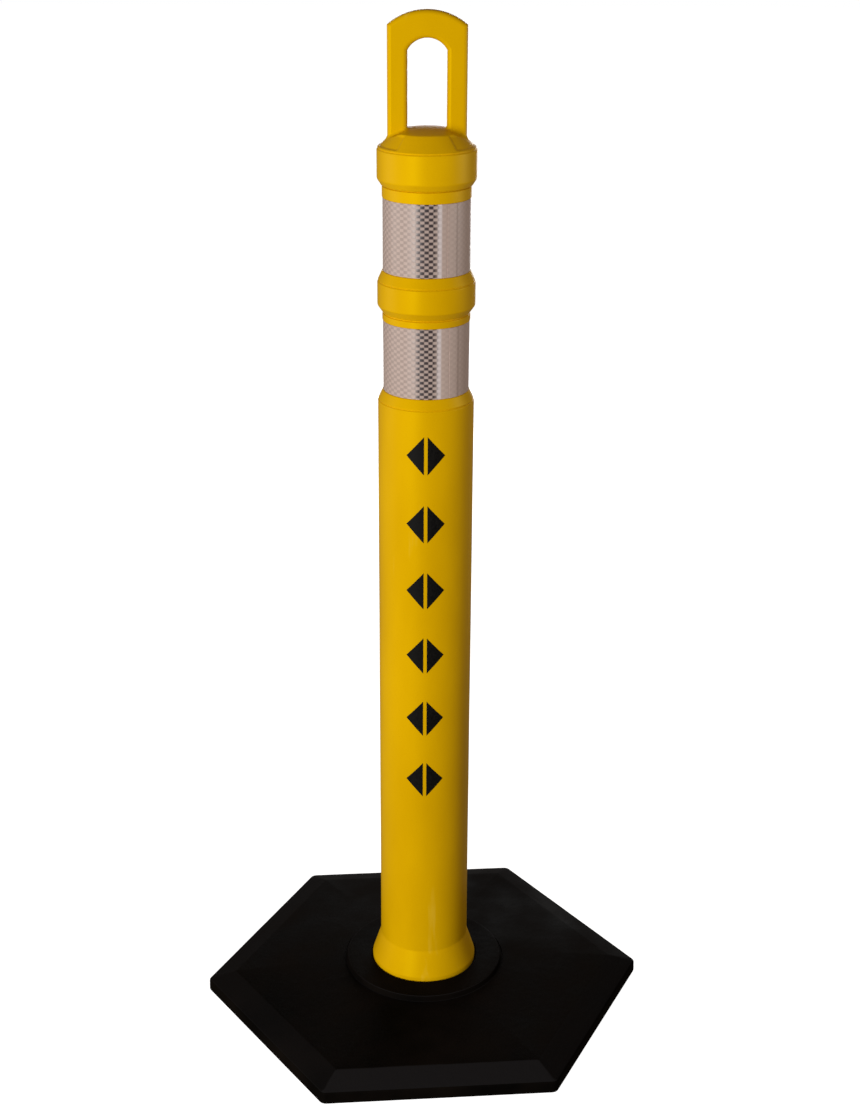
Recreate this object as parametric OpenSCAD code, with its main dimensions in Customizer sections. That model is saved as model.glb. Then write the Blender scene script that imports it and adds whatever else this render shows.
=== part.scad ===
// Delineator post: a hollow tubular marker with a loop handle, two reflective bands
// and a hexagonal rubber base that drops down over the post onto its foot flange.
// Millimetres. The origin is on the ground under the post's axis, +Z is up, and the
// marked face of the post looks along -Y.

/* [Tube] */
// Height from the ground to the top of the handle
post_h = 1143; // [940:1:1400]
// Outside diameter of the tube, of its rib and of the cap's skirt
tube_d = 103; // [85:0.5:125]
// Wall thickness of the tube
tube_wall = 3.2; // [2.4:0.1:4.2]
// Depth of the necks below the tube's outside
neck_depth = 5.2; // [4.2:0.1:7]
// Height of the straight part of the rib between the two bands
rib_h = 25.5; // [15:0.5:40]
// Height of the cone above the rib and above the collar
rib_cone_h = 11; // [8:0.5:16]
// Height of the chamfer below the rib
rib_chamfer_h = 8; // [5:0.5:12]

/* [Foot] */
// Height at which the tube starts to flare
flare_top_z = 75; // [60:1:90]
// Height at which the flare ends and the straight foot starts
flare_end_z = 44; // [43:0.5:50]
// How far the flare stands out from the tube
flare_out = 10; // [5:0.5:12]
// Outside diameter of the flange that the base sits on
flange_d = 160; // [150:1:175]
// Thickness of the flange
flange_t = 6; // [4:0.5:8]

/* [Cap and handle] */
// Height from the cap's rim to the top of the handle
handle_h = 135.5; // [110:0.5:165]
// Width of the handle
handle_w = 81; // [66:0.5:98]
// Depth of the handle, front to back
handle_t = 16; // [12:0.5:20]
// How far the handle's top arc rises above its corners
handle_rise = 14.7; // [8:0.1:20]
// Rounding of the handle's edges
handle_round = 4.5; // [2:0.1:5.5]
// Width of the finger window
window_w = 40; // [33:0.5:48]
// How far the window's top arc rises above its corners
window_rise = 11.9; // [8:0.1:16]
// Thickness of the handle above the window
handle_top_t = 27; // [20:0.5:34]
// Height of the cap's skirt from its chamfer to its rim
skirt_h = 30.5; // [26:0.5:40]
// Height of the chamfer below the skirt
skirt_chamfer_h = 6.5; // [4:0.5:9]
// Height of the cap's cone above its rim
shoulder_h = 16.5; // [12:0.5:20]
// Diameter of the domed top of the cap
dome_d = 72; // [60:0.5:78]
// Rise of the dome
dome_rise = 5.5; // [3:0.1:8]
// Depth of the relief in the cone below each side of the handle
side_relief = 1.2; // [0.6:0.1:2]
// Clearance between the cap and the tube
cap_clear = 0.2; // [0.1:0.05:0.4]

/* [Reflective bands] */
// Height of one band of sheeting
band_h = 76.2; // [63:0.1:92]
// Thickness of the sheeting
band_t = 0.5; // [0.3:0.05:0.5]
// Length of the overlap where the sheeting's ends meet
band_lap = 10; // [6:0.5:16]
// Yellow strip between the cap and the upper band
upper_strip_h = 12.5; // [8:0.5:20]
// Yellow strip between the rib and the lower band
lower_strip_h = 8; // [6:0.5:16]

/* [Stencilled marks] */
// Number of marks down the front of the tube
mark_count = 6; // [3:1:6]
// Height of one mark
mark_h = 47; // [39:0.5:57]
// Width of one mark
mark_w = 41; // [34:0.5:50]
// Distance from one mark's centre to the next
mark_pitch = 77.5; // [64:0.5:93]
// Height of the top mark's centre below the tube's collar
mark_drop = 49; // [40:0.5:60]
// Width of the bridge left by the stencil
mark_bridge = 4; // [2:0.5:6]
// Thickness of the paint
mark_t = 0.25; // [0.1:0.05:0.4]

/* [Rubber base] */
// Width of the base across its corners
base_w = 524; // [430:1:630]
// Height of the base's upright edge
base_edge_h = 14.5; // [12:0.5:18]
// Height of the base's top where the bevel ends
base_h = 24.5; // [20:0.5:29]
// How far the top rises from there to the raised ring
top_rise = 11; // [4:0.5:13]
// Width of the bevel round the base, measured towards a corner
base_bevel = 34; // [20:1:45]
// Height of the raised ring's top above the ground
boss_h = 41; // [38:0.5:42.5]
// Outside diameter of the raised ring
boss_d = 189; // [170:1:200]
// Turn of the base about the post's axis, counter-clockwise from above
base_turn = 4.7; // [0:0.1:60]
// Gap round the foot in the base's hole
hole_clear = 1; // [0.5:0.1:1.5]
// Gap between the flange and the recess under the base
flange_clear = 0.3; // [0.2:0.1:1]

/* [Hidden] */
tube_r = tube_d / 2;
neck_r = tube_r - neck_depth;
foot_r = tube_r + flare_out;
flange_r = flange_d / 2;
// The sheeting lies in a recess that is a little deeper than two layers of it
recess_r = neck_r - 2 * band_t - 0.1;
glue_gap = 0.05;
band_end_gap = 0.4;
inner_neck_r = recess_r - tube_wall;
inner_tube_r = tube_r - tube_wall;
inner_foot_r = foot_r - tube_wall;

// Heights, from the top of the handle downwards
rim_z = post_h - handle_h;
skirt_z = rim_z - skirt_h;
cap_foot_z = skirt_z - skirt_chamfer_h;
upper_band_top_z = cap_foot_z - upper_strip_h;
upper_band_z = upper_band_top_z - band_h;
rib_top_z = upper_band_z - rib_cone_h;
rib_z = rib_top_z - rib_h;
rib_foot_z = rib_z - rib_chamfer_h;
lower_band_top_z = rib_foot_z - lower_strip_h;
lower_band_z = lower_band_top_z - band_h;
collar_z = lower_band_z - rib_cone_h;

// Snap bead on the tube's neck and the land in the cap that it holds
seat_gap = 0.1;
tube_top_z = rim_z - 1;
bead_out = 1.2;
bead_h = 5;
bead_z = cap_foot_z + 12;
cap_lip = 0.8;

// Cap
dome_r = dome_d / 2;
shoulder_z = rim_z + shoulder_h;
dome_sphere_r = arc_r(dome_r, dome_rise);
dome_steps = 6;
cap_wall = 4;
rim_ledge = 1.5;
panel_half_angle = 38;
window_sill_z = shoulder_z + dome_rise + 2;
window_top_z = post_h - handle_top_t;

// Lower and outer end of the marks
mark_bed_r = tube_r + glue_gap;

base_r = base_w / 2;
hole_r = foot_r + hole_clear;
recess_clear = 1.5;
// Bevel seen square to an edge of the hexagon
base_flat = base_r * cos(30);
bevel_flat = base_bevel * cos(30);
bevel_angle = atan((base_h - base_edge_h) / bevel_flat);

MARKS = [for (i = [1:mark_count]) str("stencil_mark_", i)];
$fn = 128;

// Radius of the arc over a chord of half-width w that rises by s
function arc_r(w, s) = (w * w + s * s) / (2 * s);

// Height of the cap's cone at radius r
function cone_z(r) = rim_z + (tube_r - r) * shoulder_h / (tube_r - dome_r);

// Outside of the tube, from the flange up to the open top
function tube_outside() = [
    [flange_r, 0], [flange_r, flange_t], [foot_r, flange_t], [foot_r, flare_end_z],
    [tube_r, flare_top_z], [tube_r, collar_z],
    [neck_r, lower_band_z], [recess_r, lower_band_z],
    [recess_r, lower_band_top_z], [neck_r, lower_band_top_z],
    [neck_r, rib_foot_z], [tube_r, rib_z], [tube_r, rib_top_z],
    [neck_r, upper_band_z], [recess_r, upper_band_z],
    [recess_r, upper_band_top_z], [neck_r, upper_band_top_z],
    [neck_r, bead_z], [neck_r + bead_out, bead_z],
    [neck_r + bead_out, bead_z + bead_h / 2], [neck_r, bead_z + bead_h],
    [neck_r, tube_top_z]
];

// Inside of the tube, from the open top down to the open foot
function tube_inside() = [
    [inner_neck_r, tube_top_z], [inner_neck_r, upper_band_z],
    [inner_tube_r, rib_top_z], [inner_tube_r, rib_z], [inner_neck_r, rib_foot_z],
    [inner_neck_r, lower_band_z], [inner_tube_r, collar_z], [inner_tube_r, flare_top_z],
    [inner_foot_r, flare_end_z], [inner_foot_r, 0]
];

module post_tube() {
    color("gold")
        rotate_extrude()
            polygon(concat(tube_outside(), tube_inside()));
}

// Half-section of the handle's plate out to width w. Its edges are rounded off the solid
// with k = -1, and off the window's sides with k = 1, where the section runs past both faces.
function plate_section(w, k) =
    let (
        face = handle_t / 2,
        far = face + (k > 0 ? 1 : 0),
        edge = [for (a = [0:30:90])
            [w + k * handle_round * (1 - cos(a)), face - handle_round * (1 - sin(a))]],
        past = k > 0 ? [[w + handle_round, far]] : [],
        half = concat(edge, past, [[0, far]])
    )
    concat(half, [for (i = [len(half) - 1:-1:0]) [half[i][0], -half[i][1]]]);

// Upright column of the plate's section from height z to height top
module plate_column(w, k, z, top) {
    for (side = [0, 1])
        mirror([side, 0, 0])
            translate([0, 0, z])
                linear_extrude(top - z)
                    polygon(plate_section(w / 2, k));
}

// Top of the plate's section above height z: an arc w wide that rises by s to height top
module plate_arc(w, k, s, z, top) {
    r = arc_r(w / 2, s);
    intersection() {
        translate([0, 0, top - r])
            rotate([90, 0, 0])
                rotate_extrude()
                    polygon(plate_section(r, k));
        translate([-w, -w, z])
            cube([2 * w, 2 * w, s + 2 * handle_round]);
    }
}

module plate(w, k, s, z, top) {
    plate_column(w, k, z, top - s);
    plate_arc(w, k, s, top - s, top);
}

module handle_plate() {
    difference() {
        plate(handle_w, -1, handle_rise, rim_z + 1, post_h);
        plate(window_w, 1, window_rise, window_sill_z, window_top_z);
    }
}

module cap_shell() {
    dome_angle = asin(dome_r / dome_sphere_r);
    dome = [for (i = [dome_steps:-1:0])
        let (a = dome_angle * i / dome_steps)
        [dome_sphere_r * sin(a), shoulder_z + dome_rise - dome_sphere_r * (1 - cos(a))]];
    rotate_extrude()
        polygon(concat([
            [0, cap_foot_z], [neck_r + cap_clear + cap_lip, cap_foot_z], [tube_r, skirt_z],
            [tube_r, rim_z]
        ], dome));
}

// Relief of the cone on both sides, between its front and back panels
module side_relief_cut() {
    outer_r = tube_r - rim_ledge;
    reach = 2 * tube_r;
    difference() {
        rotate_extrude()
            polygon([
                [outer_r, cone_z(outer_r) - side_relief], [outer_r, cone_z(outer_r) + 5],
                [dome_r, shoulder_z + 5], [dome_r, shoulder_z - side_relief]
            ]);
        for (side = [-1, 1])
            translate([0, 0, rim_z - reach])
                linear_extrude(2 * reach)
                    polygon([
                        [0, 0], [reach * sin(panel_half_angle), side * reach * cos(panel_half_angle)],
                        [-reach * sin(panel_half_angle), side * reach * cos(panel_half_angle)]
                    ]);
    }
}

// Everything inside the cap: the land, the groove for the bead, the seat and the roof
module cap_cavity() {
    land_r = neck_r + cap_clear;
    groove_r = neck_r + bead_out + cap_clear;
    seat_z = tube_top_z + seat_gap;
    rotate_extrude()
        polygon([
            [0, cap_foot_z - 1], [land_r, cap_foot_z - 1], [land_r, bead_z - seat_gap],
            [groove_r, bead_z - seat_gap], [groove_r, bead_z + bead_h / 2 + seat_gap],
            [land_r, bead_z + bead_h + seat_gap], [land_r, seat_z],
            [inner_neck_r, seat_z], [inner_neck_r, seat_z + 2],
            [dome_r - cap_wall, shoulder_z - cap_wall], [0, shoulder_z - cap_wall]
        ]);
}

module handle_cap() {
    color("gold")
        difference() {
            union() {
                difference() {
                    cap_shell();
                    side_relief_cut();
                }
                handle_plate();
            }
            cap_cavity();
        }
}

// One wrap of sheeting from height z up, its outer end lying over its inner end at azimuth a
module reflective_band(z, a) {
    inner_r = recess_r + glue_gap;
    h = band_h - 2 * band_end_gap;
    translate([0, 0, z + band_end_gap]) {
        difference() {
            cylinder(r = inner_r + band_t, h = h);
            translate([0, 0, -1])
                cylinder(r = inner_r, h = h + 2);
        }
        rotate([0, 0, a])
            rotate_extrude(angle = band_lap / neck_r * 180 / PI)
                translate([inner_r + band_t / 2, 0])
                    square([band_t * 1.5, h]);
    }
}

module upper_reflective_band() {
    color("lightgray")
        reflective_band(upper_band_z, -62);
}

module lower_reflective_band() {
    color("lightgray")
        reflective_band(lower_band_z, -58);
}

// Diamond with the stencil's bridge left open down its middle
module mark_outline() {
    difference() {
        polygon([[0, mark_h / 2], [mark_w / 2, 0], [0, -mark_h / 2], [-mark_w / 2, 0]]);
        square([mark_bridge, mark_h], center = true);
    }
}

module stencil_mark(i) {
    z = collar_z - mark_drop - (i - 1) * mark_pitch;
    color("black")
        intersection() {
            translate([0, 0, z - mark_h])
                difference() {
                    cylinder(r = mark_bed_r + mark_t, h = 2 * mark_h);
                    translate([0, 0, -1])
                        cylinder(r = mark_bed_r, h = 2 * mark_h + 2);
                }
            translate([0, 0, z])
                rotate([90, 0, 0])
                    linear_extrude(tube_d)
                        mark_outline();
        }
}

// Hexagonal slab with a bevel along each of its six upper edges
module base_slab() {
    difference() {
        cylinder(r = base_r, h = base_h, $fn = 6);
        for (i = [0:5])
            rotate([0, 0, 30 + 60 * i])
                translate([base_flat, 0, base_edge_h])
                    rotate([0, bevel_angle - 90, 0])
                        translate([0, -base_r, -1])
                            cube([2 * base_h, 2 * base_r, 2 * base_bevel]);
    }
}

module rubber_base() {
    color("dimgray")
        rotate([0, 0, base_turn])
            difference() {
                union() {
                    base_slab();
                    translate([0, 0, base_h])
                        cylinder(r1 = base_flat - bevel_flat, r2 = boss_d / 2, h = top_rise);
                    cylinder(r = boss_d / 2, h = boss_h);
                }
                translate([0, 0, -1])
                    cylinder(r = hole_r, h = boss_h + 2);
                translate([0, 0, -1])
                    cylinder(r = flange_r + recess_clear, h = flange_t + flange_clear + 1);
            }
}

post_tube();
handle_cap();
upper_reflective_band();
lower_reflective_band();
for (i = [1:mark_count])
    stencil_mark(i);
rubber_base();
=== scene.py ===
"""Looks of the delineator post: moulded tube and cap, sheeting, painted marks and rubber base."""
import math

import bmesh
import bpy
from mathutils import Matrix, Vector, noise


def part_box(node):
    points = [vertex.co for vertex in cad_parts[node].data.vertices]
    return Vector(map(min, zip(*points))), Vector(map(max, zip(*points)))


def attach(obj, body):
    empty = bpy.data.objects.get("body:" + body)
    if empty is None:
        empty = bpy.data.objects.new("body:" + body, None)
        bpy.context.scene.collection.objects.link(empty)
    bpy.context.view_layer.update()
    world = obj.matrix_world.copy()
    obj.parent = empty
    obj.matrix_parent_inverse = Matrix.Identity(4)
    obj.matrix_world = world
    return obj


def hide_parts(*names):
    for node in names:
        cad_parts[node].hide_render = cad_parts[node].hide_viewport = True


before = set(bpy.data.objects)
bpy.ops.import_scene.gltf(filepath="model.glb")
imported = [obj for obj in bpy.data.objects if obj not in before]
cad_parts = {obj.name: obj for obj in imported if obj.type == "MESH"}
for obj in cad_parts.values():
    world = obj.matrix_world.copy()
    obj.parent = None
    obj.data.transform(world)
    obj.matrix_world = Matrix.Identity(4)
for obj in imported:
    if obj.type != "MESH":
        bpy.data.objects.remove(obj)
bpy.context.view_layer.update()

MM = 0.001

# ---------------------------------------------------------------- sizes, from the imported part
tube_low, tube_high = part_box("post_tube")
cap_low, cap_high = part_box("handle_cap")
base_low, base_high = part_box("rubber_base")
upper_low, upper_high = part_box("upper_reflective_band")
lower_low, lower_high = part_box("lower_reflective_band")

TUBE_R = cap_high.x
FLANGE_R = tube_high.x
FOOT_R = TUBE_R + 10 * MM
NECK_R = TUBE_R - 5.2 * MM
RECESS_R = NECK_R - 1.1 * MM
WALL = 3.2 * MM
FLANGE_T = 6 * MM
FLARE_END_Z = 44 * MM
FLARE_TOP_Z = 75 * MM
BAND_END_GAP = 0.4 * MM
CONE_H = 11 * MM
RIB_H = 25.5 * MM
CHAMFER_H = 8 * MM
BEAD_OUT = 1.2 * MM
BEAD_H = 5 * MM
TUBE_ROUND = 0.9 * MM
WAVE_D = 0.25 * MM
WAVE_FADE = 60 * MM
PARTING_RIDGE = 0.16 * MM
PARTING_HALF_W = 1.4 * MM

UPPER_BAND_Z = upper_low.z - BAND_END_GAP
UPPER_BAND_TOP_Z = upper_high.z + BAND_END_GAP
LOWER_BAND_Z = lower_low.z - BAND_END_GAP
LOWER_BAND_TOP_Z = lower_high.z + BAND_END_GAP
RIB_TOP_Z = UPPER_BAND_Z - CONE_H
RIB_Z = RIB_TOP_Z - RIB_H
RIB_FOOT_Z = RIB_Z - CHAMFER_H
COLLAR_Z = LOWER_BAND_Z - CONE_H
TUBE_TOP_Z = tube_high.z

RIM_Z = TUBE_TOP_Z + 1 * MM
CAP_FOOT_Z = cap_low.z
BEAD_Z = CAP_FOOT_Z + 12 * MM
SKIRT_Z = CAP_FOOT_Z + 6.5 * MM
SHOULDER_Z = RIM_Z + 16.5 * MM
DOME_R = 36 * MM
DOME_RISE = 4.6 * MM
RIM_LEDGE = 1.5 * MM
GROOVE_D = 1.5 * MM
SIDE_RELIEF = 1.5 * MM
SADDLE_X = 18 * MM
SADDLE_Z = SHOULDER_Z + 4 * MM
SADDLE_SLOPE = 0.46
PANEL_HALF_ANGLE = math.radians(38)
CAP_CLEAR = 0.2 * MM
CAP_WALL = 4 * MM
CAP_ROUND = 1.1 * MM
CAP_SEAT_GAP = 0.1 * MM
CONE_START_Z = RIM_Z + 1.5 * MM
CREASE = 0.8 * MM
RELIEF_FADE = 3 * MM

HANDLE_TOP_Z = cap_high.z
HANDLE_HALF_W = 40.5 * MM
HANDLE_HALF_T = 8 * MM
HANDLE_RISE = 14.7 * MM
HANDLE_ROUND = 4.5 * MM
ROOT_SIZE = 3.4 * MM
ROOT_DEPTH = 1.2 * MM
ROOT_INSIDE = 1 * MM
ROOT_OVERLAP = 0.05 * MM
QUARTER_STEPS = 6
WINDOW_HALF_W = 20 * MM
WINDOW_RISE = 11.9 * MM
WINDOW_TOP_Z = HANDLE_TOP_Z - 27 * MM
WINDOW_SILL_Z = SHOULDER_Z

BAND_T = 0.5 * MM
BAND_R = RECESS_R + 0.05 * MM
BAND_LAP = 10 * MM / NECK_R
BAND_RAMP = math.radians(4)
BAND_EDGE = 0.12 * MM
LAP_LIFT = 1.08 * BAND_T
BAND_STEPS = 300
UPPER_SEAM = math.radians(-62)
LOWER_SEAM = math.radians(-58)

BASE_TURN = math.radians(4.7)
BASE_R = base_high.x / math.cos(BASE_TURN)
BASE_FLAT = BASE_R * math.cos(math.radians(30))
BEVEL_FLAT = 34 * MM * math.cos(math.radians(30))
BASE_EDGE_H = 14.5 * MM
BASE_H = 24.5 * MM
TOP_RISE = 11 * MM
BOSS_H = base_high.z
BOSS_R = 94.5 * MM
HOLE_R = FOOT_R + 1 * MM
RECESS_BASE_R = FLANGE_R + 1.5 * MM
RECESS_BASE_H = FLANGE_T + 0.3 * MM
BASE_ROUND = 2.2 * MM
BASE_CORNER = 9 * MM
RUBBER_DIP = 0.45 * MM

FRONT = math.radians(-90)
SEGMENTS = 240


# ---------------------------------------------------------------- mesh helpers
def outline(*points):
    return [Vector(p) for p in points]


def rounded(points, radius, closed=True, steps=3):
    """The outline with a soft arc of about that radius at each of its corners."""
    out = []
    for i, here in enumerate(points):
        if not closed and i in (0, len(points) - 1):
            out.append(here)
            continue
        before, after = points[i - 1] - here, points[(i + 1) % len(points)] - here
        reach = min(radius, 0.4 * before.length, 0.4 * after.length)
        start = here + before.normalized() * reach
        end = here + after.normalized() * reach
        for k in range(steps + 1):
            t = k / steps
            out.append(start * (1 - t) ** 2 + here * 2 * t * (1 - t) + end * t * t)
    return out


def subdivided(points, longest, closed=True):
    """The outline with points added, so that no side is longer than that."""
    out = []
    last = len(points) if closed else len(points) - 1
    for i in range(last):
        here, after = points[i], points[(i + 1) % len(points)]
        parts = max(1, math.ceil((after - here).length / longest))
        out += [here.lerp(after, k / parts) for k in range(parts)]
    return out if closed else out + [points[-1]]


def smoothstep(low, high, x):
    t = max(0.0, min(1.0, (x - low) / (high - low)))
    return t * t * (3 - 2 * t)


def mesh_object(name, mesh):
    """A smooth-shaded object of that bmesh, with its faces turned outwards."""
    bmesh.ops.remove_doubles(mesh, verts=mesh.verts, dist=1e-7)
    bmesh.ops.recalc_face_normals(mesh, faces=mesh.faces)
    data = bpy.data.meshes.new(name)
    mesh.to_mesh(data)
    mesh.free()
    data.shade_smooth()
    made = bpy.data.objects.new(name, data)
    bpy.context.scene.collection.objects.link(made)
    return made


def skin(mesh, rows, rows_close=True, columns_close=True):
    """Adds quads between rows of points of the same length, and returns the rows' vertices."""
    verts = [[mesh.verts.new(p) for p in row] for row in rows]
    row_count = len(rows) if rows_close else len(rows) - 1
    column_count = len(rows[0]) if columns_close else len(rows[0]) - 1
    for i in range(row_count):
        here, after = verts[i], verts[(i + 1) % len(rows)]
        for j in range(column_count):
            k = (j + 1) % len(here)
            mesh.faces.new((here[j], after[j], after[k], here[k]))
    return verts


def grid_object(name, rows, columns_close=True):
    """An object of quads between rows of points, the last row joined to the first."""
    mesh = bmesh.new()
    skin(mesh, rows, columns_close=columns_close)
    return mesh_object(name, mesh)


def joined_arcs(arcs, side_parts):
    """The closed outline through the arcs, with straight sides of that many parts between them."""
    out = []
    for arc, following in zip(arcs, arcs[1:] + arcs[:1]):
        out += arc[:-1]
        out += [arc[-1].lerp(following[0], k / side_parts) for k in range(side_parts)]
    return out


def round_point(radius, z, angle):
    return Vector((radius * math.cos(angle), radius * math.sin(angle), z))


def lathe(name, section, closed=True, shape=round_point):
    """The section of (radius, height) points turned round the Z axis."""
    angles = [2 * math.pi * s / SEGMENTS for s in range(SEGMENTS)]
    rows = [[shape(r, z, a) for r, z in section] for a in angles]
    return grid_object(name, rows, columns_close=closed)


def boolean(target, other, operation):
    """The target joined with, or cut by, the other object, which is used up."""
    step = target.modifiers.new("join", "BOOLEAN")
    step.object = other
    step.operation = operation
    step.solver = "MANIFOLD"
    bpy.context.view_layer.update()
    shown = target.evaluated_get(bpy.context.evaluated_depsgraph_get())
    joined = bpy.data.meshes.new_from_object(shown)
    target.modifiers.clear()
    target.data = joined
    bpy.data.objects.remove(other)


def even_shading(piece, sharp_degrees=32):
    """Keeps broad faces flat next to their rounded edges, and marks the sharp corners."""
    sharp = math.radians(sharp_degrees)
    mesh = bmesh.new()
    mesh.from_mesh(piece.data)
    for edge in mesh.edges:
        edge.smooth = len(edge.link_faces) == 2 and edge.calc_face_angle() < sharp
    mesh.to_mesh(piece.data)
    mesh.free()
    weigh = piece.modifiers.new("even_normals", "WEIGHTED_NORMAL")
    weigh.keep_sharp = True


def parting_line(angle):
    """Height of the fine ridge that the mould's two halves leave down both sides."""
    off = abs(math.sin(angle)) * TUBE_R
    return PARTING_RIDGE * (1 - smoothstep(0.0, PARTING_HALF_W, off))


def rim_groove(z):
    """Section points of the shallow groove where a wall meets the cone above it."""
    return outline((TUBE_R, z - 0.9 * MM), (TUBE_R - GROOVE_D, z + 0.2 * MM),
                   (TUBE_R - 0.7 * MM, z + 1.3 * MM))


def foot_groove(z):
    """Section points of the groove in the neck where a wall above it ends."""
    return outline((NECK_R, z - 1.3 * MM), (NECK_R - GROOVE_D, z - 0.7 * MM),
                   (NECK_R - GROOVE_D, z + 0.3 * MM), (NECK_R, z + 0.7 * MM))


# ---------------------------------------------------------------- tube
def tube_section():
    """Closed section of the tube: outside from the foot up, then inside down again."""
    outside = outline(
        (FLANGE_R, 0), (FLANGE_R, FLANGE_T), (FOOT_R, FLANGE_T), (FOOT_R, FLARE_END_Z),
        (TUBE_R, FLARE_TOP_Z), *rim_groove(COLLAR_Z), (NECK_R, LOWER_BAND_Z),
        (RECESS_R, LOWER_BAND_Z), (RECESS_R, LOWER_BAND_TOP_Z), (NECK_R, LOWER_BAND_TOP_Z),
        *foot_groove(RIB_FOOT_Z), (TUBE_R, RIB_Z), *rim_groove(RIB_TOP_Z), (NECK_R, UPPER_BAND_Z),
        (RECESS_R, UPPER_BAND_Z), (RECESS_R, UPPER_BAND_TOP_Z), (NECK_R, UPPER_BAND_TOP_Z),
        *foot_groove(CAP_FOOT_Z), (NECK_R, BEAD_Z), (NECK_R + BEAD_OUT, BEAD_Z),
        (NECK_R + BEAD_OUT, BEAD_Z + BEAD_H / 2), (NECK_R, BEAD_Z + BEAD_H),
        (NECK_R, TUBE_TOP_Z))
    neck, tube, foot = RECESS_R - WALL, TUBE_R - WALL, FOOT_R - WALL
    inside = outline(
        (neck, TUBE_TOP_Z), (neck, UPPER_BAND_Z), (tube, RIB_TOP_Z), (tube, RIB_Z),
        (neck, RIB_FOOT_Z), (neck, LOWER_BAND_Z), (tube, COLLAR_Z), (tube, FLARE_TOP_Z),
        (foot, FLARE_END_Z), (foot, 0))
    return subdivided(rounded(outside + inside, TUBE_ROUND), 18 * MM)


def tube_shape(radius, z, angle):
    """A little uneven below the collar, as blow moulding leaves it, and never proud."""
    low = smoothstep(FLARE_TOP_Z, FLARE_TOP_Z + WAVE_FADE, z)
    high = 1 - smoothstep(COLLAR_Z - WAVE_FADE, COLLAR_Z, z)
    where = Vector((math.cos(angle), math.sin(angle), z * 9)) * 1.3
    sink = WAVE_D * low * high * (0.5 + 0.5 * noise.noise(where))
    ridge = parting_line(angle) if z > FLANGE_T else 0
    return round_point(radius - sink + ridge, z, angle)


def make_tube():
    tube = lathe("blow_moulded_tube", tube_section(), shape=tube_shape)
    even_shading(tube)
    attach(tube, "post")
    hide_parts("post_tube")
    return tube


# ---------------------------------------------------------------- cap with its handle
def dome_z(radius):
    """Height of the shallow dome on the cap."""
    sphere = (DOME_R ** 2 + DOME_RISE ** 2) / (2 * DOME_RISE)
    return SHOULDER_Z + DOME_RISE - sphere + math.sqrt(sphere ** 2 - radius ** 2)


def smooth_min(first, second, soft):
    """The lower of two heights, with the crease between them softened."""
    share = max(0.0, min(1.0, 0.5 + 0.5 * (second - first) / soft))
    return second + (first - second) * share - soft * share * (1 - share)


def relief(angle):
    """Depth of the cone's side sectors below its front and back panels."""
    from_front = abs(math.asin(max(-1.0, min(1.0, math.cos(angle)))))
    soft = math.radians(1.5)
    return SIDE_RELIEF * smoothstep(PANEL_HALF_ANGLE - soft, PANEL_HALF_ANGLE + soft, from_front)


def cap_top_z(radius, angle):
    """Height of the cap's upper surface, which falls away to both sides under the handle."""
    if radius < DOME_R:
        top = dome_z(radius)
    else:
        cone = SHOULDER_Z - (radius - DOME_R) * (SHOULDER_Z - RIM_Z) / (TUBE_R - DOME_R)
        inner = smoothstep(DOME_R, DOME_R + CREASE, radius)
        outer = 1 - smoothstep(TUBE_R - RIM_LEDGE - RELIEF_FADE, TUBE_R - RIM_LEDGE, radius)
        top = cone - relief(angle) * inner * outer
    across = abs(radius * math.cos(angle))
    saddle = SADDLE_Z - SADDLE_SLOPE * (across - SADDLE_X)
    return smooth_min(top, saddle, CREASE)


def cap_shape(radius, z, angle):
    """Shapes the cone and the dome by cap_top_z; the rest of the section is round."""
    if z > CONE_START_Z:
        z += cap_top_z(radius, angle) - cap_top_z(radius, FRONT)
    ridge = parting_line(angle) if radius > NECK_R else 0
    return round_point(radius + ridge, z, angle)


def cap_solid():
    """The cap without its cavity."""
    dome = [(DOME_R * k / 10, dome_z(DOME_R * k / 10)) for k in range(9, -1, -1)]
    section = outline(
        (0, CAP_FOOT_Z), (NECK_R + 1 * MM, CAP_FOOT_Z), (TUBE_R, SKIRT_Z),
        *rim_groove(RIM_Z), (TUBE_R - RIM_LEDGE, RIM_Z + 2.1 * MM),
        (DOME_R, SHOULDER_Z), *dome)
    section = subdivided(rounded(section, CAP_ROUND, closed=False), 1 * MM, closed=False)
    return lathe("cap_and_handle", section, closed=False, shape=cap_shape)


def cap_cavity():
    """The hollow that seats on the tube's top and snaps over its bead."""
    land, groove = NECK_R + CAP_CLEAR, NECK_R + BEAD_OUT + CAP_CLEAR
    seat, gap = TUBE_TOP_Z + CAP_SEAT_GAP, CAP_SEAT_GAP
    roof = SHOULDER_Z - CAP_WALL
    return lathe("cavity", outline(
        (0, CAP_FOOT_Z - 1 * MM), (land, CAP_FOOT_Z - 1 * MM), (land, BEAD_Z - gap),
        (groove, BEAD_Z - gap), (groove, BEAD_Z + BEAD_H / 2 + gap),
        (land, BEAD_Z + BEAD_H + gap), (land, seat), (RECESS_R - WALL, seat),
        (RECESS_R - WALL, seat + 2 * MM), (DOME_R - CAP_WALL, roof), (0, roof)), closed=False)


def arched_loop(half_w, low, high, rise, side_parts=14, arc_parts=28, foot_parts=14):
    """Points of (x, z) round a shape with upright sides, a flat foot and an arched top."""
    radius = (half_w ** 2 + rise ** 2) / (2 * rise)
    reach = math.asin(half_w / radius)
    corner_z = high - rise
    foot = [(half_w * (2 * k / foot_parts - 1), low) for k in range(foot_parts)]
    right = [(half_w, low + (corner_z - low) * k / side_parts) for k in range(side_parts)]
    turns = [reach - 2 * reach * k / arc_parts for k in range(arc_parts)]
    arc = [(radius * math.sin(t), high - radius + radius * math.cos(t)) for t in turns]
    left = [(-half_w, corner_z - (corner_z - low) * k / side_parts) for k in range(side_parts)]
    return outline(*foot, *right, *arc, *left)


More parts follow.
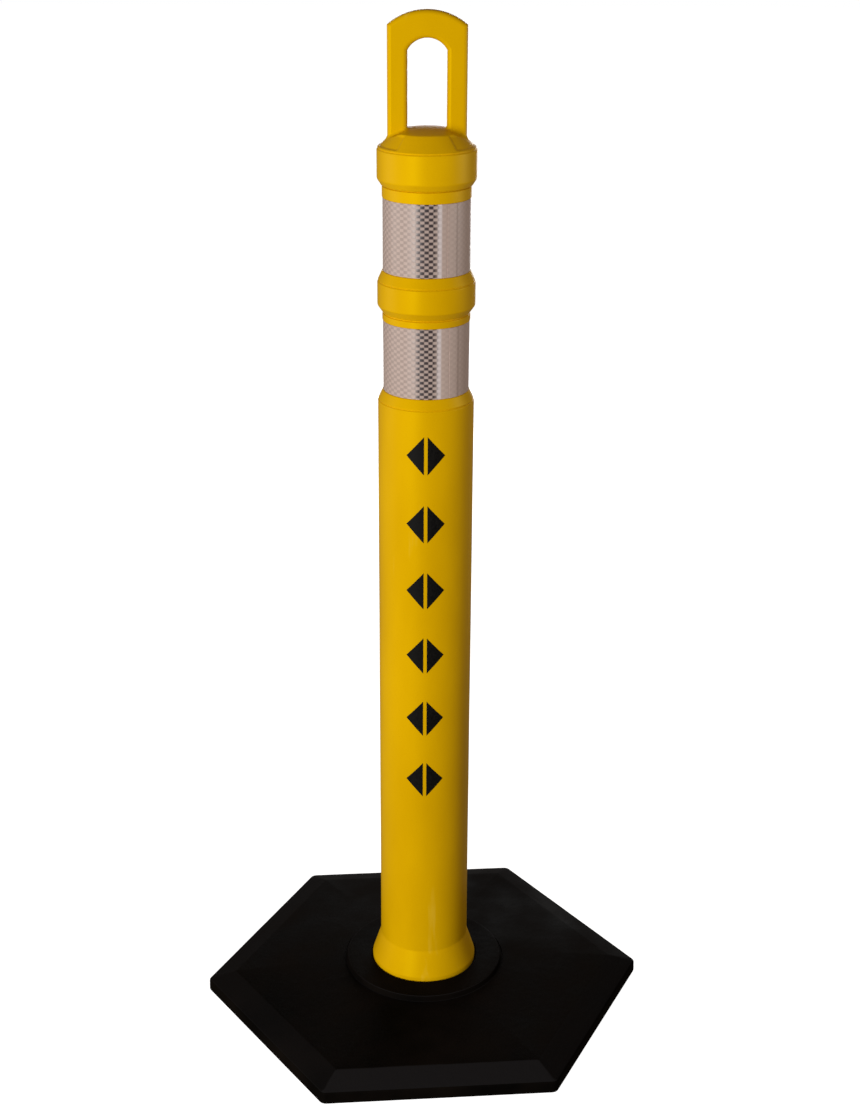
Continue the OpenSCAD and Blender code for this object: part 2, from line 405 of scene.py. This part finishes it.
def inset(points, distance):
    """The closed loop, anticlockwise, moved inwards by that distance with mitred corners."""
    out = []
    for i, here in enumerate(points):
        along = (here - points[i - 1]).normalized()
        onward = (points[(i + 1) % len(points)] - here).normalized()
        miter = Vector((-along.y - onward.y, along.x + onward.x)).normalized()
        lean = max(0.4, miter.dot(Vector((-along.y, along.x))))
        out.append(here + miter * distance / lean)
    return out


def handle_loop():
    """The handle's plate with its window, its edges rounded all round."""
    plate = arched_loop(HANDLE_HALF_W, RIM_Z + 1 * MM, HANDLE_TOP_Z, HANDLE_RISE)
    window = arched_loop(WINDOW_HALF_W, WINDOW_SILL_Z, WINDOW_TOP_Z, WINDOW_RISE)
    rows = []
    for edge, inwards in ((plate, 1), (window, -1)):
        turns = [(-inwards, k) for k in range(QUARTER_STEPS, -1, -1)]
        turns += [(inwards, k) for k in range(QUARTER_STEPS + 1)]
        for side, k in turns:
            turn = math.pi / 2 * k / QUARTER_STEPS
            depth = HANDLE_ROUND * (1 - math.cos(turn))
            y = side * (HANDLE_HALF_T - HANDLE_ROUND * (1 - math.sin(turn)))
            rows.append([Vector((p.x, y, p.y)) for p in inset(edge, inwards * depth)])
    return grid_object("handle", rows)


def leg_loop(side, grow):
    """Points of (x, y) round the right (1) or left (-1) leg of the handle, that much outside it."""
    middle = side * (HANDLE_HALF_W + WINDOW_HALF_W) / 2
    reach_x = (HANDLE_HALF_W - WINDOW_HALF_W) / 2 - HANDLE_ROUND
    reach_y = HANDLE_HALF_T - HANDLE_ROUND
    arcs = []
    for quarter, (side_x, side_y) in enumerate(((1, 1), (-1, 1), (-1, -1), (1, -1))):
        centre = Vector((middle + side_x * reach_x, side_y * reach_y))
        turns = [math.pi / 2 * (quarter + k / QUARTER_STEPS) for k in range(QUARTER_STEPS + 1)]
        spokes = [Vector((math.cos(t), math.sin(t))) for t in turns]
        arcs.append([centre + (HANDLE_ROUND + grow) * spoke for spoke in spokes])
    return joined_arcs(arcs, 8)


def leg_root(side):
    """The fillet between one leg of the handle and the cap's top."""
    def row(grow, rise):
        out = []
        for x, y in leg_loop(side, grow):
            surface = cap_top_z(math.hypot(x, y), math.atan2(y, x))
            out.append(Vector((x, y, surface + rise)))
        return out
    turns = [math.pi / 2 * k / QUARTER_STEPS for k in range(QUARTER_STEPS + 1)]
    rows = [row(-ROOT_INSIDE, ROOT_SIZE)]
    rows += [row(ROOT_SIZE * (1 - math.cos(t)) - ROOT_OVERLAP, ROOT_SIZE * (1 - math.sin(t)))
             for t in turns]
    rows += [row(ROOT_SIZE, -ROOT_DEPTH), row(-ROOT_INSIDE, -ROOT_DEPTH)]
    mesh = bmesh.new()
    verts = skin(mesh, rows, rows_close=False)
    ends = [mesh.faces.new(verts[0]), mesh.faces.new(verts[-1])]
    bmesh.ops.triangulate(mesh, faces=ends)
    return mesh_object("root", mesh)


def make_cap():
    cap = cap_solid()
    for side in (-1, 1):
        boolean(cap, leg_root(side), "UNION")
    boolean(cap, handle_loop(), "UNION")
    boolean(cap, cap_cavity(), "DIFFERENCE")
    cap.data.shade_smooth()
    even_shading(cap)
    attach(cap, "post")
    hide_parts("handle_cap")
    return cap


# ---------------------------------------------------------------- reflective sheeting
def band_row(along, low_z, high_z, seam):
    """The strip's cross-section at that angle from its first end, which lies on the other end."""
    lift = LAP_LIFT * (1 - smoothstep(BAND_LAP, BAND_LAP + BAND_RAMP, along))
    inner, outer = BAND_R + lift, BAND_R + lift + BAND_T
    section = [(inner, low_z), (outer - BAND_EDGE, low_z), (outer, low_z + BAND_EDGE)]
    section += [(outer, low_z + (high_z - low_z) * j / 12) for j in range(1, 12)]
    section += [(outer, high_z - BAND_EDGE), (outer - BAND_EDGE, high_z), (inner, high_z)]
    return [round_point(r, z, seam + along) for r, z in section]


def make_band(name, node, low, high, seam):
    """One strip wrapped round the neck, one of its ends lying over the other."""
    turn = 2 * math.pi + BAND_LAP
    angles = [turn * k / BAND_STEPS for k in range(BAND_STEPS + 1)]
    mesh = bmesh.new()
    rows = [band_row(along, low.z, high.z, seam) for along in angles]
    verts = skin(mesh, rows, rows_close=False)
    mesh.faces.new(verts[0])
    mesh.faces.new(list(reversed(verts[-1])))
    band = mesh_object(name, mesh)
    even_shading(band)
    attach(band, "post")
    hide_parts(node)
    return band


# ---------------------------------------------------------------- rubber base
def hexagon(flat, corner):
    """Points of (x, y) round a hexagon with rounded corners, that far from centre to side."""
    corner_parts = 8
    tip = flat / math.cos(math.radians(30)) - corner / math.sin(math.radians(60))
    arcs = []
    for k in range(6):
        middle = BASE_TURN + math.radians(60 * k)
        centre = Vector((tip * math.cos(middle), tip * math.sin(middle)))
        arc = []
        for j in range(corner_parts + 1):
            a = middle + math.radians(60) * (j / corner_parts - 0.5)
            arc.append(centre + corner * Vector((math.cos(a), math.sin(a))))
        arcs.append(arc)
    return joined_arcs(arcs, 44)


def base_section():
    """Closed section of (distance, height): outer edge, bevel, top, ring, hole and recess."""
    ring_foot = BASE_H + TOP_RISE
    section = outline(
        (BASE_FLAT, 0), (BASE_FLAT, BASE_EDGE_H), (BASE_FLAT - BEVEL_FLAT, BASE_H),
        (BOSS_R + 1.6 * MM, ring_foot), (BOSS_R + 0.8 * MM, ring_foot - 0.8 * MM),
        (BOSS_R - 0.6 * MM, ring_foot), (BOSS_R - 1.4 * MM, BOSS_H), (HOLE_R, BOSS_H),
        (HOLE_R, RECESS_BASE_H), (RECESS_BASE_R, RECESS_BASE_H), (RECESS_BASE_R, 0))
    return subdivided(rounded(section, BASE_ROUND), 4 * MM)


def base_point(flat_point, angle, distance, z):
    """Hexagonal at the rim of the base and round at its ring, blending between them."""
    inner, outer = BOSS_R + 6 * MM, BASE_FLAT - BEVEL_FLAT - 4 * MM
    blend = 1 - smoothstep(inner, outer, distance)
    circle = Vector((distance * math.cos(angle), distance * math.sin(angle)))
    flat = flat_point.lerp(circle, blend)
    where = Vector((flat.x, flat.y, z))
    dip = 0.5 + 0.3 * noise.noise(where * 26) + 0.2 * noise.noise(where * 110)
    sink = RUBBER_DIP * max(0.0, dip) * smoothstep(RECESS_BASE_H, RECESS_BASE_H + 4 * MM, z)
    upright = smoothstep(BASE_FLAT - 2 * MM, BASE_FLAT, distance)
    pull = 1 - upright * sink / BASE_FLAT
    return Vector((flat.x * pull, flat.y * pull, z - (1 - upright) * sink))


def make_base():
    angles = [math.atan2(p.y, p.x) for p in hexagon(BASE_FLAT, BASE_CORNER)]
    rows = []
    for distance, z in base_section():
        edge = smoothstep(BASE_FLAT - BEVEL_FLAT, BASE_FLAT, distance)
        ring = hexagon(distance, (3 + 5 * edge) * MM)
        rows.append([base_point(p, a, distance, z) for p, a in zip(ring, angles)])
    base = grid_object("rubber_ballast_base", rows)
    even_shading(base, sharp_degrees=50)
    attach(base, "base")
    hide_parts("rubber_base")
    return base


# ---------------------------------------------------------------- materials
def add(tree, kind, inputs=None, **settings):
    """A new shader node. inputs maps sockets to values or to other nodes' outputs."""
    made = tree.nodes.new("ShaderNode" + kind)
    for key, value in settings.items():
        setattr(made, key, value)
    for key, value in (inputs or {}).items():
        if isinstance(value, bpy.types.NodeSocket):
            tree.links.new(value, made.inputs[key])
        else:
            made.inputs[key].default_value = value
    return made


def new_material(name, roughness, specular):
    """A material with its node tree, its shader and the object's own coordinates."""
    made = bpy.data.materials.new(name)
    made.use_nodes = True
    tree = made.node_tree
    shader = tree.nodes["Principled BSDF"]
    shader.inputs["Roughness"].default_value = roughness
    shader.inputs["Specular IOR Level"].default_value = specular
    place = add(tree, "TexCoord").outputs["Object"]
    return made, tree, shader, place


def noise_at(tree, place, scale, detail=3.0, stretch=None):
    if stretch:
        place = add(tree, "Mapping", {"Vector": place, "Scale": stretch}).outputs["Vector"]
    inputs = {"Vector": place, "Scale": scale, "Detail": detail}
    return add(tree, "TexNoise", inputs).outputs["Fac"]


def remap(tree, value, low, high, to_low, to_high):
    inputs = {"Value": value, "From Min": low, "From Max": high, "To Min": to_low, "To Max": to_high}
    return add(tree, "MapRange", inputs).outputs["Result"]


def math_node(tree, operation, first, second=0.0):
    return add(tree, "Math", {0: first, 1: second}, operation=operation).outputs[0]


def mix_colours(tree, share, first, second):
    inputs = {0: share, 6: first, 7: second}
    return add(tree, "Mix", inputs, data_type="RGBA").outputs[2]


def colour(red, green, blue):
    """A linear colour from its usual 0 to 255 screen values."""
    def linear(value):
        v = value / 255
        return v / 12.92 if v < 0.04045 else ((v + 0.055) / 1.055) ** 2.4
    return (linear(red), linear(green), linear(blue), 1.0)


def bump(tree, shader, height, distance, strength=1.0, below=None):
    inputs = {"Height": height, "Distance": distance, "Strength": strength}
    if below is not None:
        inputs["Normal"] = below
    out = add(tree, "Bump", inputs).outputs["Normal"]
    tree.links.new(out, shader.inputs["Normal"])
    return out


def yellow_plastic():
    """Blow-moulded polyethylene: warm yellow, waxy, with a faint grain and light scuffs."""
    made, tree, shader, place = new_material("yellow_polyethylene", 0.42, 0.35)
    shader.inputs["Specular Tint"].default_value = (1.0, 0.78, 0.0, 1.0)
    cloud = noise_at(tree, place, 14.0, 4.0, (1, 1, 0.35))
    shade = remap(tree, cloud, 0.3, 0.7, 0, 1)
    tint = mix_colours(tree, shade, colour(218, 168, 0), colour(232, 182, 2))
    grit = noise_at(tree, place, 900.0, 2.0)
    tint = mix_colours(tree, remap(tree, grit, 0.62, 0.8, 0, 0.35), tint, colour(188, 138, 4))
    scuff = noise_at(tree, place, 55.0, 8.0, (1, 1, 0.12))
    mark = remap(tree, scuff, 0.66, 0.74, 0, 0.35)
    tint = mix_colours(tree, mark, tint, colour(236, 196, 60))
    tree.links.new(tint, shader.inputs["Base Color"])
    rough = math_node(tree, "ADD", remap(tree, cloud, 0.3, 0.7, 0.38, 0.46), mark)
    tree.links.new(rough, shader.inputs["Roughness"])
    wave = noise_at(tree, place, 22.0, 2.0, (1, 1, 0.5))
    soft = bump(tree, shader, wave, 0.6 * MM, 0.5)
    peel = noise_at(tree, place, 650.0, 3.0)
    bump(tree, shader, peel, 0.06 * MM, 0.8, below=soft)
    return made


def sheeting():
    """Prismatic film: warm pale grey with a diamond lattice of cells. Painted shade darkens the cells
    and the film in three stripes round the band, leaving faint cells between them and fainter still on
    the right side, and a painted highlight puts a thin pale glint beside each stripe.
    """
    made, tree, shader, place = new_material("prismatic_sheeting", 0.45, 0.4)
    split = add(tree, "SeparateXYZ", {0: place})
    turn = math_node(tree, "ARCTAN2", split.outputs["Y"], split.outputs["X"])
    cell_w, cell_h = 8.9 * MM, 6.1 * MM
    lobe_count, glint_shift = 3.0, 0.89
    from_front = math_node(tree, "SUBTRACT", turn, FRONT)
    across = math_node(tree, "MULTIPLY", from_front, BAND_R / cell_w)
    up = math_node(tree, "MULTIPLY", split.outputs["Z"], 1 / cell_h)

    def wave(value, shift):
        angle = math_node(tree, "MULTIPLY", math_node(tree, "ADD", value, shift), 2 * math.pi)
        return math_node(tree, "COSINE", angle)

    lattice = math_node(tree, "MULTIPLY", wave(across, 0.0), wave(up, 0.0))
    spot = remap(tree, lattice, -0.3, 0.25, 0, 1)
    # Painted shade: the cells are darkest in three stripes round the band, faint between them and
    # fainter still on the right side.
    lobe_turn = math_node(tree, "MULTIPLY", from_front, lobe_count)
    lobes = math_node(tree, "COSINE", lobe_turn)
    side = math_node(tree, "SINE", from_front)
    faint = remap(tree, side, -0.1, 0.4, 0.27, 0.08)
    strength = math_node(tree, "MAXIMUM", remap(tree, lobes, 0.6, 0.88, 0.0, 1.0), faint)
    dark = math_node(tree, "MULTIPLY", spot, strength)
    streaks = noise_at(tree, place, 60.0, 2.0, (1, 1, 0.02))
    shade = remap(tree, streaks, 0.3, 0.7, 0, 1)
    film = mix_colours(tree, shade, colour(192, 171, 161), colour(205, 186, 176))
    # Painted highlight: a thin pale glint just beside each of the three stripes.
    glint = math_node(tree, "COSINE", math_node(tree, "SUBTRACT", lobe_turn, glint_shift))
    film = mix_colours(tree, remap(tree, glint, 0.98, 0.995, 0, 0.7), film, colour(232, 224, 226))
    # Painted shade: the film itself is darker in the three stripes.
    film = mix_colours(tree, math_node(tree, "MULTIPLY", strength, 0.3), film, colour(128, 110, 108))
    tint = mix_colours(tree, dark, film, colour(66, 58, 60))
    tree.links.new(tint, shader.inputs["Base Color"])
    tree.links.new(remap(tree, spot, 0, 1, 0.5, 0.35), shader.inputs["Roughness"])
    bump(tree, shader, lattice, 0.08 * MM, 0.6)
    return made


def black_paint():
    """Stencil paint: flat black, slightly thin and grainy."""
    made, tree, shader, place = new_material("stencil_paint", 0.75, 0.1)
    grain = noise_at(tree, place, 500.0, 5.0)
    tint = mix_colours(tree, remap(tree, grain, 0.35, 0.75, 0, 1), colour(6, 6, 6), colour(20, 19, 17))
    tree.links.new(tint, shader.inputs["Base Color"])
    tree.links.new(remap(tree, grain, 0.3, 0.7, 0.5, 0.68), shader.inputs["Roughness"])
    bump(tree, shader, grain, 0.05 * MM, 0.7)
    return made


def black_rubber():
    """Recycled rubber: near black, warm and mottled, with painted light that makes its bevels greyer,
    most at the front.
    """
    made, tree, shader, place = new_material("recycled_rubber", 0.75, 0.02)
    mottle = noise_at(tree, place, 16.0, 6.0)
    tint = mix_colours(tree, remap(tree, mottle, 0.35, 0.7, 0, 1), colour(5, 4, 3), colour(17, 13, 10))
    facing = add(tree, "SeparateXYZ", {0: add(tree, "TexCoord").outputs["Normal"]})
    # Painted light: the bevels, which tilt towards the light, are painted a lighter grey, the bevel
    # facing the front most of all.
    front = remap(tree, facing.outputs["Y"], -0.2, -0.27, 0, 1)
    tilted = remap(tree, facing.outputs["Z"], 0.985, 0.965, 0, 0.3)
    upward = remap(tree, facing.outputs["Z"], 0.8, 0.9, 0, 1)
    painted_bevel_light = math_node(tree, "MULTIPLY", math_node(tree, "MAXIMUM", front, tilted), upward)
    tint = mix_colours(tree, painted_bevel_light, tint, colour(29, 28, 29))
    crumb = add(tree, "TexVoronoi", {"Vector": place, "Scale": 420.0}).outputs["Distance"]
    speck = remap(tree, crumb, 0.0, 0.28, 0.55, 0.0)
    patch = remap(tree, noise_at(tree, place, 90.0, 3.0), 0.5, 0.65, 0, 1)
    tint = mix_colours(tree, math_node(tree, "MULTIPLY", speck, patch), tint, colour(27, 23, 20))
    tree.links.new(tint, shader.inputs["Base Color"])
    tree.links.new(remap(tree, mottle, 0.3, 0.7, 0.62, 0.85), shader.inputs["Roughness"])
    pits = bump(tree, shader, noise_at(tree, place, 130.0, 5.0), 0.5 * MM, 0.7)
    bump(tree, shader, crumb, 0.12 * MM, 0.6, below=pits)
    return made


def paint(piece, material):
    """Gives all of a piece that material."""
    if piece.material_slots:
        for slot in piece.material_slots:
            slot.material = material
    else:
        piece.data.materials.append(material)


# ---------------------------------------------------------------- studio
def make_floor():
    """A plain white floor. It is see-through from below, so that the underside can be seen."""
    half, z = 14.0, -0.5 * MM
    mesh = bmesh.new()
    corners = [(-half, -half), (half, -half), (half, half), (-half, half)]
    mesh.faces.new([mesh.verts.new((x, y, z)) for x, y in corners])
    floor = mesh_object("studio_floor", mesh)
    made = bpy.data.materials.new("studio_floor")
    made.use_nodes = True
    tree = made.node_tree
    shader = tree.nodes["Principled BSDF"]
    shader.inputs["Base Color"].default_value = (0.5, 0.5, 0.5, 1)
    shader.inputs["Roughness"].default_value = 0.9
    shader.inputs["Emission Color"].default_value = (1, 1, 1, 1)
    shader.inputs["Emission Strength"].default_value = 1.0
    floor.visible_diffuse = False
    floor.visible_glossy = False
    behind = add(tree, "NewGeometry").outputs["Backfacing"]
    clear = add(tree, "BsdfTransparent")
    both = add(tree, "MixShader", {0: behind, 1: shader.outputs[0], 2: clear.outputs[0]})
    tree.links.new(both.outputs[0], tree.nodes["Material Output"].inputs["Surface"])
    paint(floor, made)


def make_world():
    """White behind the object, and only a dim light from it."""
    world = bpy.data.worlds.new("studio")
    bpy.context.scene.world = world
    world.use_nodes = True
    tree = world.node_tree
    seen = add(tree, "LightPath").outputs["Is Camera Ray"]
    dim = tree.nodes["Background"]
    dim.inputs["Color"].default_value = (1.0, 0.76, 0.58, 1)
    dim.inputs["Strength"].default_value = 0.16
    white = add(tree, "Background", {"Color": (1, 1, 1, 1), "Strength": 1.0})
    both = add(tree, "MixShader", {0: seen, 1: dim.outputs[0], 2: white.outputs[0]})
    tree.links.new(both.outputs[0], tree.nodes["World Output"].inputs["Surface"])


def area_light(name, place, target, width, height, watts):
    light = bpy.data.lights.new(name, "AREA")
    light.shape = "RECTANGLE"
    light.size, light.size_y, light.energy = width, height, watts
    made = bpy.data.objects.new(name, light)
    made.location = place
    aim = Vector(target) - Vector(place)
    made.rotation_euler = aim.to_track_quat("-Z", "Y").to_euler()
    bpy.context.scene.collection.objects.link(made)


def make_lights():
    middle = (0, 0, 0.6)
    area_light("key", (-1.5, -2.6, 0.9), middle, 0.9, 1.6, 74)
    area_light("left_fill", (-2.8, 0.0, 0.8), middle, 1.2, 1.4, 11)
    area_light("right_fill", (0.85, -0.05, 1.0), (0, 0, 0.95), 0.3, 0.3, 1.7)
    area_light("rear", (0.3, 3.0, 0.8), middle, 1.6, 1.2, 28)


def make_camera():
    """A longish lens in front of the post, above its handle and looking down at it."""
    long_side_px, focal_px = 1120, 1798
    camera = bpy.data.cameras.new("camera")
    camera.sensor_width = 36
    camera.lens = camera.sensor_width * focal_px / long_side_px
    made = bpy.data.objects.new("camera", camera)
    made.location = (0, -1.859, 1.298)
    pitch, yaw, roll = math.radians(-21.8), math.radians(0.16), math.radians(0.29)
    turn = Matrix.Rotation(-yaw, 4, "Z") @ Matrix.Rotation(math.pi / 2 + pitch, 4, "X")
    made.rotation_euler = (turn @ Matrix.Rotation(roll, 4, "Z")).to_euler()
    bpy.context.scene.collection.objects.link(made)
    bpy.context.scene.camera = made


# ---------------------------------------------------------------- build
yellow = yellow_plastic()
film = sheeting()
paint(make_tube(), yellow)
paint(make_cap(), yellow)
paint(make_band("upper_sheeting", "upper_reflective_band", upper_low, upper_high, UPPER_SEAM), film)
paint(make_band("lower_sheeting", "lower_reflective_band", lower_low, lower_high, LOWER_SEAM), film)
paint(make_base(), black_rubber())
stencil = black_paint()
for name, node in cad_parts.items():
    if name.startswith("stencil_mark"):
        paint(node, stencil)

make_floor()
make_world()
make_lights()
make_camera()
bpy.context.scene.view_settings.view_transform = "Standard"
